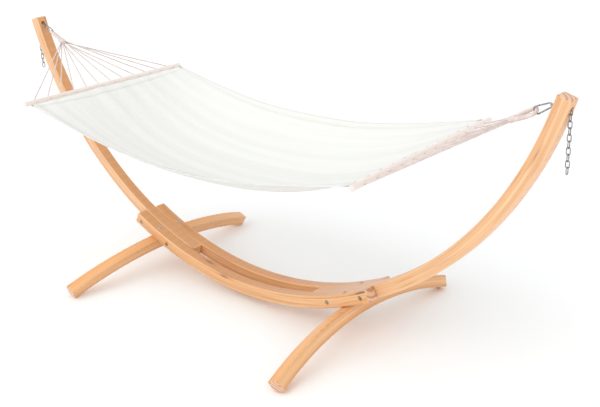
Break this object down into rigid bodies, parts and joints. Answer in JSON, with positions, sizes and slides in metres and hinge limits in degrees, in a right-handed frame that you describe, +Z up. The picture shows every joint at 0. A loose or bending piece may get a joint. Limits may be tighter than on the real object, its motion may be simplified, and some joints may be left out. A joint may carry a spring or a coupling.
{
  "type": "hammock on stand",
  "caption": "Spreader-bar hammock hung by ropes, snap hooks and chains between the arms of a curved laminated-wood stand with arched feet.",
  "frame": {"origin": "on the floor, under the middle of the stand", "axes": "+X along the hammock, +Y across it, +Z up; the key slots and hanging chain tails are at both ends, outside the arms"},
  "size_m": [3.2006, 1.2108, 1.2252],
  "materials": {
    "lacquered_wood": "honey-coloured lacquered laminated softwood",
    "pale_wood": "pale sanded hardwood",
    "bed_fabric": "cream woven cotton",
    "rope": "off-white twisted cotton rope",
    "zinc_steel": "bright zinc-plated steel"
  },
  "bodies": {
    "stand": {"centre_beam_front": "lacquered_wood", "centre_beam_back": "lacquered_wood", "arm_left": "lacquered_wood", "foot_left": "lacquered_wood", "cross_bolts_left": "zinc_steel", "cross_washers_left": "zinc_steel", "cross_nuts_left": "zinc_steel", "foot_bolts_left": "zinc_steel", "foot_washers_left": "zinc_steel", "foot_nuts_left": "zinc_steel", "held_chain_left": "zinc_steel", "arm_right": "lacquered_wood", "foot_right": "lacquered_wood", "cross_bolts_right": "zinc_steel", "cross_washers_right": "zinc_steel", "cross_nuts_right": "zinc_steel", "foot_bolts_right": "zinc_steel", "foot_washers_right": "zinc_steel", "foot_nuts_right": "zinc_steel", "held_chain_right": "zinc_steel"},
    "hammock": {"bed_sheet": "bed_fabric", "spreader_bar_left": "pale_wood", "rope_fan_left": "rope", "rope_binding_left": "rope", "rope_eye_left": "rope", "snap_hook_left": "zinc_steel", "gate_pin_left": "zinc_steel", "spreader_bar_right": "pale_wood", "rope_fan_right": "rope", "rope_binding_right": "rope", "rope_eye_right": "rope", "snap_hook_right": "zinc_steel", "gate_pin_right": "zinc_steel"},
    "gate_left": {"snap_gate_left": "zinc_steel"},
    "tail_left_1": {"tail_link_1_left": "zinc_steel"},
    "tail_left_2": {"tail_link_2_left": "zinc_steel"},
    "tail_left_3": {"tail_link_3_left": "zinc_steel"},
    "tail_left_4": {"tail_link_4_left": "zinc_steel"},
    "tail_left_5": {"tail_link_5_left": "zinc_steel"},
    "tail_left_6": {"tail_link_6_left": "zinc_steel"},
    "tail_left_7": {"tail_link_7_left": "zinc_steel"},
    "tail_left_8": {"tail_link_8_left": "zinc_steel"},
    "tail_left_9": {"tail_link_9_left": "zinc_steel"},
    "gate_right": {"snap_gate_right": "zinc_steel"},
    "tail_right_1": {"tail_link_1_right": "zinc_steel"},
    "tail_right_2": {"tail_link_2_right": "zinc_steel"},
    "tail_right_3": {"tail_link_3_right": "zinc_steel"},
    "tail_right_4": {"tail_link_4_right": "zinc_steel"},
    "tail_right_5": {"tail_link_5_right": "zinc_steel"},
    "tail_right_6": {"tail_link_6_right": "zinc_steel"},
    "tail_right_7": {"tail_link_7_right": "zinc_steel"},
    "tail_right_8": {"tail_link_8_right": "zinc_steel"},
    "tail_right_9": {"tail_link_9_right": "zinc_steel"}
  },
  "joints": [
    {"name": "hammock_swing", "type": "hinge", "parent": "stand", "child": "hammock", "pos_m": [0, 0, 1.18048], "axis": [1, 0, 0], "range_deg": [-25, 25]},
    {"name": "gate_left_open", "type": "hinge", "parent": "hammock", "child": "gate_left", "pos_m": [-1.50853, 0, 1.16631], "axis": [0, -1, 0], "range_deg": [0, 28], "stiffness_Nm_per_rad": 0.03, "springref_deg": -11.46},
    {"name": "tail_left_1_swing", "type": "hinge", "parent": "stand", "child": "tail_left_1", "pos_m": [-1.58748, 0, 1.15713], "axis": [0, 1, 0], "range_deg": [-5, 30]},
    {"name": "tail_left_2_swing", "type": "hinge", "parent": "tail_left_1", "child": "tail_left_2", "pos_m": [-1.58748, 0, 1.13343], "axis": [-1, 0, 0], "range_deg": [-25, 25]},
    {"name": "tail_left_3_swing", "type": "hinge", "parent": "tail_left_2", "child": "tail_left_3", "pos_m": [-1.58748, 0, 1.10973], "axis": [0, 1, 0], "range_deg": [-5, 30]},
    {"name": "tail_left_4_swing", "type": "hinge", "parent": "tail_left_3", "child": "tail_left_4", "pos_m": [-1.58748, 0, 1.08603], "axis": [-1, 0, 0], "range_deg": [-25, 25]},
    {"name": "tail_left_5_swing", "type": "hinge", "parent": "tail_left_4", "child": "tail_left_5", "pos_m": [-1.58748, 0, 1.06233], "axis": [0, 1, 0], "range_deg": [-5, 30]},
    {"name": "tail_left_6_swing", "type": "hinge", "parent": "tail_left_5", "child": "tail_left_6", "pos_m": [-1.58748, 0, 1.03863], "axis": [-1, 0, 0], "range_deg": [-25, 25]},
    {"name": "tail_left_7_swing", "type": "hinge", "parent": "tail_left_6", "child": "tail_left_7", "pos_m": [-1.58748, 0, 1.01493], "axis": [0, 1, 0], "range_deg": [-5, 30]},
    {"name": "tail_left_8_swing", "type": "hinge", "parent": "tail_left_7", "child": "tail_left_8", "pos_m": [-1.58748, 0, 0.99123], "axis": [-1, 0, 0], "range_deg": [-25, 25]},
    {"name": "tail_left_9_swing", "type": "hinge", "parent": "tail_left_8", "child": "tail_left_9", "pos_m": [-1.58748, 0, 0.96753], "axis": [0, 1, 0], "range_deg": [-5, 30]},
    {"name": "gate_right_open", "type": "hinge", "parent": "hammock", "child": "gate_right", "pos_m": [1.50853, 0, 1.16631], "axis": [0, 1, 0], "range_deg": [0, 28], "stiffness_Nm_per_rad": 0.03, "springref_deg": -11.46},
    {"name": "tail_right_1_swing", "type": "hinge", "parent": "stand", "child": "tail_right_1", "pos_m": [1.58748, 0, 1.15713], "axis": [0, -1, 0], "range_deg": [-5, 30]},
    {"name": "tail_right_2_swing", "type": "hinge", "parent": "tail_right_1", "child": "tail_right_2", "pos_m": [1.58748, 0, 1.13343], "axis": [1, 0, 0], "range_deg": [-25, 25]},
    {"name": "tail_right_3_swing", "type": "hinge", "parent": "tail_right_2", "child": "tail_right_3", "pos_m": [1.58748, 0, 1.10973], "axis": [0, -1, 0], "range_deg": [-5, 30]},
    {"name": "tail_right_4_swing", "type": "hinge", "parent": "tail_right_3", "child": "tail_right_4", "pos_m": [1.58748, 0, 1.08603], "axis": [1, 0, 0], "range_deg": [-25, 25]},
    {"name": "tail_right_5_swing", "type": "hinge", "parent": "tail_right_4", "child": "tail_right_5", "pos_m": [1.58748, 0, 1.06233], "axis": [0, -1, 0], "range_deg": [-5, 30]},
    {"name": "tail_right_6_swing", "type": "hinge", "parent": "tail_right_5", "child": "tail_right_6", "pos_m": [1.58748, 0, 1.03863], "axis": [1, 0, 0], "range_deg": [-25, 25]},
    {"name": "tail_right_7_swing", "type": "hinge", "parent": "tail_right_6", "child": "tail_right_7", "pos_m": [1.58748, 0, 1.01493], "axis": [0, -1, 0], "range_deg": [-5, 30]},
    {"name": "tail_right_8_swing", "type": "hinge", "parent": "tail_right_7", "child": "tail_right_8", "pos_m": [1.58748, 0, 0.99123], "axis": [1, 0, 0], "range_deg": [-25, 25]},
    {"name": "tail_right_9_swing", "type": "hinge", "parent": "tail_right_8", "child": "tail_right_9", "pos_m": [1.58748, 0, 0.96753], "axis": [0, -1, 0], "range_deg": [-5, 30]}
  ]
}
